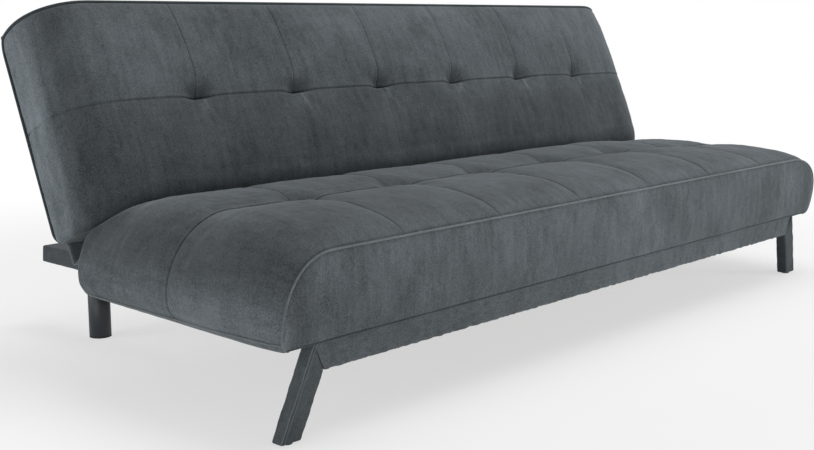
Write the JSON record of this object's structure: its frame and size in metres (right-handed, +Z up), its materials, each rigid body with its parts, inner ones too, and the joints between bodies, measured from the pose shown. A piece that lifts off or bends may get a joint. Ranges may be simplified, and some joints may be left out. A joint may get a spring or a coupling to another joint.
{
  "type": "click clack sofa bed",
  "caption": "Armless velvet sofa bed with tufted seat and back pads; the back reclines on ratchet hinges onto beams to form a flat bed.",
  "frame": {"origin": "floor point at the centre of the overall box, between front panel and beam ends", "axes": "+X along the width towards the sitter's left, +Y from the front to the rear, +Z up"},
  "size_m": [2.0316, 1.085, 0.7583],
  "materials": {
    "velvet": "slate grey velvet with a soft sheen",
    "dust_cloth": "black non-woven cloth",
    "timber": "planed pine",
    "zinc_steel": "zinc plated",
    "black_steel": "satin black powder coat",
    "glide_plastic": "moulded black"
  },
  "bodies": {
    "base": {"front_rail": "velvet", "front_leg_left": "velvet", "front_glide_left": "glide_plastic", "side_beam_left": "velvet", "rear_leg_plate_left": "black_steel", "rear_leg_left": "black_steel", "rear_glide_left": "glide_plastic", "front_leg_right": "velvet", "front_glide_right": "glide_plastic", "side_beam_right": "velvet", "rear_leg_plate_right": "black_steel", "rear_leg_right": "black_steel", "rear_glide_right": "glide_plastic", "cross_rail_middle": "timber", "cross_rail_rear": "velvet", "seat_frame_front_rail": "timber", "seat_frame_rear_rail": "timber", "seat_frame_side_rail_left": "timber", "seat_frame_side_rail_right": "timber", "seat_slat_1": "timber", "seat_slat_2": "timber", "seat_slat_3": "timber", "seat_slat_4": "timber", "seat_slat_5": "timber", "seat_cushion": "velvet", "seat_dust_cover": "dust_cloth", "hinge_seat_plate_left": "zinc_steel", "hinge_pivot_bolt_left": "zinc_steel", "hinge_plate_bolt_left_1": "zinc_steel", "hinge_plate_bolt_left_2": "zinc_steel", "hinge_seat_plate_right": "zinc_steel", "hinge_pivot_bolt_right": "zinc_steel", "hinge_plate_bolt_right_1": "zinc_steel", "hinge_plate_bolt_right_2": "zinc_steel", "hinge_strip": "velvet"},
    "backrest": {"back_frame_bottom_rail": "timber", "back_frame_top_rail": "timber", "back_frame_upright_left": "timber", "back_frame_upright_right": "timber", "back_slat_1": "timber", "back_slat_2": "timber", "back_slat_3": "timber", "back_slat_4": "timber", "back_slat_5": "timber", "back_cushion": "velvet", "back_rear_cover": "dust_cloth", "hinge_back_arm_left": "zinc_steel", "hinge_arm_bolt_left_1": "zinc_steel", "hinge_arm_bolt_left_2": "zinc_steel", "pawl_pin_left": "zinc_steel", "pawl_spring_left": "zinc_steel", "hinge_back_arm_right": "zinc_steel", "hinge_arm_bolt_right_1": "zinc_steel", "hinge_arm_bolt_right_2": "zinc_steel", "pawl_pin_right": "zinc_steel", "pawl_spring_right": "zinc_steel"},
    "pawl_left": {"pawl_left": "zinc_steel"},
    "pawl_right": {"pawl_right": "zinc_steel"}
  },
  "joints": [
    {"name": "back_recline", "type": "hinge", "parent": "base", "child": "backrest", "pos_m": [0, 0.0375, 0.2948], "axis": [-1, 0, 0], "range_deg": [-10, 66.4], "deforming": ["hinge_strip"]},
    {"name": "pawl_left_lift", "type": "hinge", "parent": "backrest", "child": "pawl_left", "pos_m": [-0.8777, 0.01825, 0.25635], "axis": [-1, 0, 0], "range_deg": [0, 8], "stiffness_Nm_per_rad": 0.02},
    {"name": "pawl_right_lift", "type": "hinge", "parent": "backrest", "child": "pawl_right", "pos_m": [0.8777, 0.01825, 0.25635], "axis": [-1, 0, 0], "range_deg": [0, 8], "stiffness_Nm_per_rad": 0.02}
  ]
}
